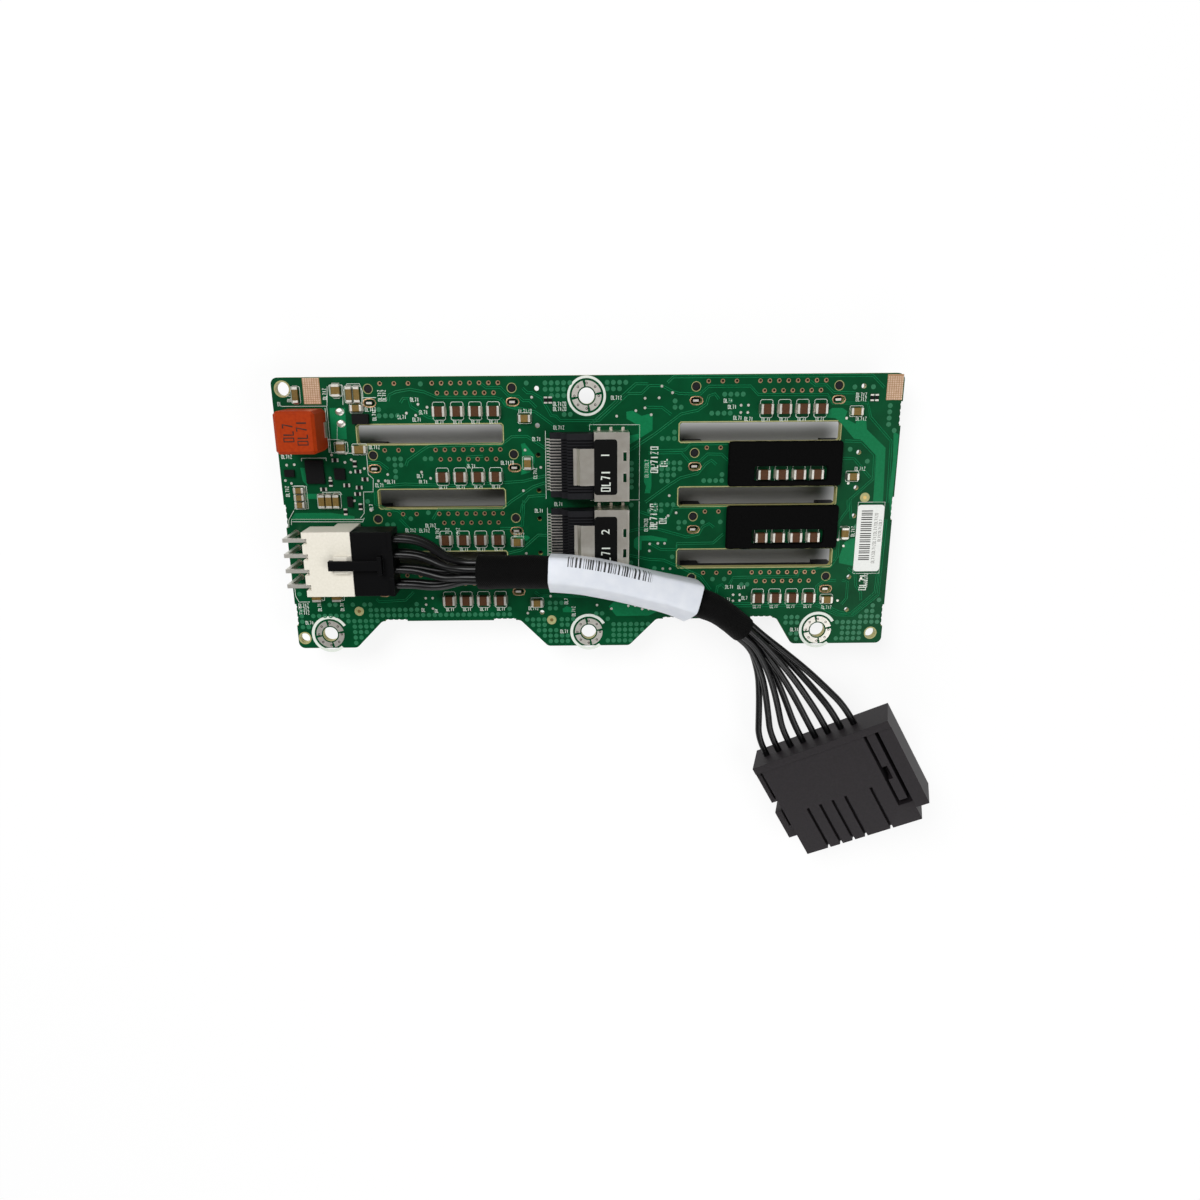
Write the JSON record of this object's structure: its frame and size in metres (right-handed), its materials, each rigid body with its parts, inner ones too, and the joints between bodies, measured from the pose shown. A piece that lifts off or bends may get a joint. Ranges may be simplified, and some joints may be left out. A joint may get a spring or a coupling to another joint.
{
  "type": "drive backplane board",
  "caption": "Green drive backplane board, rear face up, with blade drive connectors below, shelled cable ports, a white power header and a sleeved cable harness to a black connector.",
  "frame": {"origin": "centre of the board in plan, on the surface that the drive connectors' faces stand on", "axes": "+X along the board's long side, +Y to its straight long edge, +Z out of its rear face, up"},
  "size_m": [0.1889, 0.145, 0.0303],
  "materials": {
    "solder_mask": "green solder mask over glass-epoxy laminate, satin",
    "connector_plastic": "black moulded plastic",
    "contact_metal": "plated copper-alloy contacts",
    "shell_metal": "bright folded steel",
    "port_label_film": "black printed film",
    "tinned_metal": "tinned ends and tabs",
    "header_plastic": "white moulded plastic",
    "pin_metal": "tinned brass pins",
    "plug_plastic": "black moulded plastic",
    "wire_jacket": "black flexible insulation",
    "sleeve_cloth": "black braided sleeve",
    "wrap_film": "white printed wrap",
    "inductor_body": "moulded iron powder, coated",
    "foam": "soft dark pad",
    "brown_ceramic": "fired ceramic bodies",
    "package_plastic": "dark moulded packages",
    "label_paper": "white printed label"
  },
  "bodies": {
    "root": {"circuit_board": "solder_mask", "drive_connector_1": "connector_plastic", "drive_connector_2": "connector_plastic", "drive_connector_3": "connector_plastic", "drive_connector_4": "connector_plastic", "drive_connector_5": "connector_plastic", "drive_connector_6": "connector_plastic", "drive_connector_7": "connector_plastic", "drive_connector_8": "connector_plastic", "drive_contacts_1": "contact_metal", "drive_contacts_2": "contact_metal", "drive_contacts_3": "contact_metal", "drive_contacts_4": "contact_metal", "drive_contacts_5": "contact_metal", "drive_contacts_6": "contact_metal", "drive_contacts_7": "contact_metal", "drive_contacts_8": "contact_metal", "drive_board_locks": "tinned_metal", "port_1_housing": "connector_plastic", "port_1_contacts": "tinned_metal", "port_1_shell": "shell_metal", "port_1_label": "port_label_film", "port_2_housing": "connector_plastic", "port_2_contacts": "tinned_metal", "port_2_shell": "shell_metal", "port_2_label": "port_label_film", "power_header": "header_plastic", "header_pins": "pin_metal", "cable_plug": "plug_plastic", "power_wire_1": "wire_jacket", "power_wire_2": "wire_jacket", "power_wire_3": "wire_jacket", "power_wire_4": "wire_jacket", "power_wire_5": "wire_jacket", "power_wire_6": "wire_jacket", "power_wire_7": "wire_jacket", "power_wire_8": "wire_jacket", "cable_sleeve": "sleeve_cloth", "cable_label": "wrap_film", "far_connector": "plug_plastic", "far_terminals": "contact_metal", "power_inductor": "inductor_body", "inductor_terminals": "tinned_metal", "foam_pad_upper": "foam", "foam_pad_lower": "foam", "bay_capacitors": "brown_ceramic", "bay_capacitor_ends": "tinned_metal", "small_capacitors": "brown_ceramic", "small_capacitor_ends": "tinned_metal", "controller_ic": "package_plastic", "small_ics": "package_plastic", "power_diode": "package_plastic", "chip_resistors": "package_plastic", "board_label": "label_paper"}
  },
  "joints": []
}
